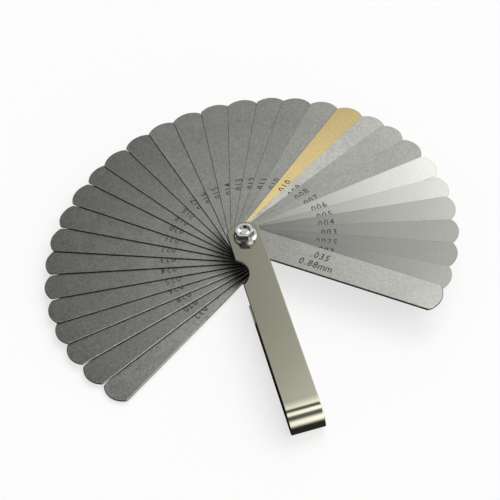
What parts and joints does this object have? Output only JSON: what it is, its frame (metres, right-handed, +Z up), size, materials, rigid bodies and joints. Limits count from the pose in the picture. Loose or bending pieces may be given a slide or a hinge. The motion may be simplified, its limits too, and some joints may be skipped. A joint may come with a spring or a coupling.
{
  "type": "feeler gauge",
  "caption": "Hand tool for measuring gaps: flat graded steel blades and one brass blade turn on a screw pivot and fold into a slim steel case.",
  "frame": {"origin": "on the pivot axis, at the outer face of the case's back leaf, which is the face the tool lies on", "axes": "+Z up the pivot axis towards the screw's head, the case runs from the pivot along -Y, and the case's thumb notch faces -X"},
  "size_m": [0.1699, 0.1774, 0.0188],
  "materials": {
    "blade_steel": "ground spring steel, fine matt grain",
    "shim_steel": "cold rolled shim steel, bright satin",
    "blade_brass": "rolled brass, satin",
    "case_steel": "satin nickel plated",
    "sleeve_steel": "turned, plain",
    "screw_plating": "bright zinc plated"
  },
  "bodies": {
    "case": {"case": "case_steel", "pivot_sleeve": "sleeve_steel", "pivot_screw": "screw_plating"},
    "blade_035": {"blade_035": "blade_steel"},
    "blade_0015": {"blade_0015": "shim_steel"},
    "blade_002": {"blade_002": "shim_steel"},
    "blade_0025": {"blade_0025": "shim_steel"},
    "blade_003": {"blade_003": "shim_steel"},
    "blade_004": {"blade_004": "shim_steel"},
    "blade_005": {"blade_005": "shim_steel"},
    "blade_006": {"blade_006": "shim_steel"},
    "blade_007": {"blade_007": "shim_steel"},
    "blade_008": {"blade_008": "blade_steel"},
    "blade_009": {"blade_009": "blade_steel"},
    "blade_010_brass": {"blade_010_brass": "blade_brass"},
    "blade_010": {"blade_010": "blade_steel"},
    "blade_011": {"blade_011": "blade_steel"},
    "blade_012": {"blade_012": "blade_steel"},
    "blade_013": {"blade_013": "blade_steel"},
    "blade_014": {"blade_014": "blade_steel"},
    "blade_015": {"blade_015": "blade_steel"},
    "blade_016": {"blade_016": "blade_steel"},
    "blade_017": {"blade_017": "blade_steel"},
    "blade_018": {"blade_018": "blade_steel"},
    "blade_019": {"blade_019": "blade_steel"},
    "blade_020": {"blade_020": "blade_steel"},
    "blade_021": {"blade_021": "blade_steel"},
    "blade_022": {"blade_022": "blade_steel"},
    "blade_023": {"blade_023": "blade_steel"},
    "blade_024": {"blade_024": "blade_steel"},
    "blade_025": {"blade_025": "blade_steel"},
    "blade_026": {"blade_026": "blade_steel"},
    "blade_028": {"blade_028": "blade_steel"},
    "blade_030": {"blade_030": "blade_steel"},
    "blade_032": {"blade_032": "blade_steel"}
  },
  "joints": [
    {"name": "turn_035", "type": "hinge", "parent": "case", "child": "blade_035", "pos_m": [0, 0, 0.01352], "axis": [0, 0, 1], "range_deg": [-48, 312]},
    {"name": "turn_0015", "type": "hinge", "parent": "case", "child": "blade_0015", "pos_m": [0, 0, 0.01303], "axis": [0, 0, 1], "range_deg": [-48, 312]},
    {"name": "turn_002", "type": "hinge", "parent": "case", "child": "blade_002", "pos_m": [0, 0, 0.01297], "axis": [0, 0, 1], "range_deg": [-55.5, 304.5]},
    {"name": "turn_0025", "type": "hinge", "parent": "case", "child": "blade_0025", "pos_m": [0, 0, 0.01289], "axis": [0, 0, 1], "range_deg": [-64, 296]},
    {"name": "turn_003", "type": "hinge", "parent": "case", "child": "blade_003", "pos_m": [0, 0, 0.0128], "axis": [0, 0, 1], "range_deg": [-72.5, 287.5]},
    {"name": "turn_004", "type": "hinge", "parent": "case", "child": "blade_004", "pos_m": [0, 0, 0.01269], "axis": [0, 0, 1], "range_deg": [-81.5, 278.5]},
    {"name": "turn_005", "type": "hinge", "parent": "case", "child": "blade_005", "pos_m": [0, 0, 0.01256], "axis": [0, 0, 1], "range_deg": [-89.5, 270.5]},
    {"name": "turn_006", "type": "hinge", "parent": "case", "child": "blade_006", "pos_m": [0, 0, 0.0124], "axis": [0, 0, 1], "range_deg": [-99, 261]},
    {"name": "turn_007", "type": "hinge", "parent": "case", "child": "blade_007", "pos_m": [0, 0, 0.01221], "axis": [0, 0, 1], "range_deg": [-108, 252]},
    {"name": "turn_008", "type": "hinge", "parent": "case", "child": "blade_008", "pos_m": [0, 0, 0.012], "axis": [0, 0, 1], "range_deg": [-117, 243]},
    {"name": "turn_009", "type": "hinge", "parent": "case", "child": "blade_009", "pos_m": [0, 0, 0.01177], "axis": [0, 0, 1], "range_deg": [-124.5, 235.5]},
    {"name": "turn_010_brass", "type": "hinge", "parent": "case", "child": "blade_010_brass", "pos_m": [0, 0, 0.0115], "axis": [0, 0, 1], "range_deg": [-133, 227]},
    {"name": "turn_010", "type": "hinge", "parent": "case", "child": "blade_010", "pos_m": [0, 0, 0.01123], "axis": [0, 0, 1], "range_deg": [-141.5, 218.5]},
    {"name": "turn_011", "type": "hinge", "parent": "case", "child": "blade_011", "pos_m": [0, 0, 0.01094], "axis": [0, 0, 1], "range_deg": [-150.5, 209.5]},
    {"name": "turn_012", "type": "hinge", "parent": "case", "child": "blade_012", "pos_m": [0, 0, 0.01063], "axis": [0, 0, 1], "range_deg": [-158.5, 201.5]},
    {"name": "turn_013", "type": "hinge", "parent": "case", "child": "blade_013", "pos_m": [0, 0, 0.0103], "axis": [0, 0, 1], "range_deg": [-167.5, 192.5]},
    {"name": "turn_014", "type": "hinge", "parent": "case", "child": "blade_014", "pos_m": [0, 0, 0.00993], "axis": [0, 0, 1], "range_deg": [-176, 184]},
    {"name": "turn_015", "type": "hinge", "parent": "case", "child": "blade_015", "pos_m": [0, 0, 0.00954], "axis": [0, 0, 1], "range_deg": [-185, 175]},
    {"name": "turn_016", "type": "hinge", "parent": "case", "child": "blade_016", "pos_m": [0, 0, 0.00913], "axis": [0, 0, 1], "range_deg": [-193.5, 166.5]},
    {"name": "turn_017", "type": "hinge", "parent": "case", "child": "blade_017", "pos_m": [0, 0, 0.00869], "axis": [0, 0, 1], "range_deg": [-202, 158]},
    {"name": "turn_018", "type": "hinge", "parent": "case", "child": "blade_018", "pos_m": [0, 0, 0.00823], "axis": [0, 0, 1], "range_deg": [-211, 149]},
    {"name": "turn_019", "type": "hinge", "parent": "case", "child": "blade_019", "pos_m": [0, 0, 0.00774], "axis": [0, 0, 1], "range_deg": [-218.5, 141.5]},
    {"name": "turn_020", "type": "hinge", "parent": "case", "child": "blade_020", "pos_m": [0, 0, 0.00722], "axis": [0, 0, 1], "range_deg": [-227.5, 132.5]},
    {"name": "turn_021", "type": "hinge", "parent": "case", "child": "blade_021", "pos_m": [0, 0, 0.00668], "axis": [0, 0, 1], "range_deg": [-236.5, 123.5]},
    {"name": "turn_022", "type": "hinge", "parent": "case", "child": "blade_022", "pos_m": [0, 0, 0.00611], "axis": [0, 0, 1], "range_deg": [-245.5, 114.5]},
    {"name": "turn_023", "type": "hinge", "parent": "case", "child": "blade_023", "pos_m": [0, 0, 0.00552], "axis": [0, 0, 1], "range_deg": [-254, 106]},
    {"name": "turn_024", "type": "hinge", "parent": "case", "child": "blade_024", "pos_m": [0, 0, 0.00491], "axis": [0, 0, 1], "range_deg": [-263, 97]},
    {"name": "turn_025", "type": "hinge", "parent": "case", "child": "blade_025", "pos_m": [0, 0, 0.00426], "axis": [0, 0, 1], "range_deg": [-272, 88]},
    {"name": "turn_026", "type": "hinge", "parent": "case", "child": "blade_026", "pos_m": [0, 0, 0.0036], "axis": [0, 0, 1], "range_deg": [-280, 80]},
    {"name": "turn_028", "type": "hinge", "parent": "case", "child": "blade_028", "pos_m": [0, 0, 0.00289], "axis": [0, 0, 1], "range_deg": [-288.5, 71.5]},
    {"name": "turn_030", "type": "hinge", "parent": "case", "child": "blade_030", "pos_m": [0, 0, 0.00213], "axis": [0, 0, 1], "range_deg": [-297.5, 62.5]},
    {"name": "turn_032", "type": "hinge", "parent": "case", "child": "blade_032", "pos_m": [0, 0, 0.00133], "axis": [0, 0, 1], "range_deg": [-306.5, 53.5]}
  ]
}
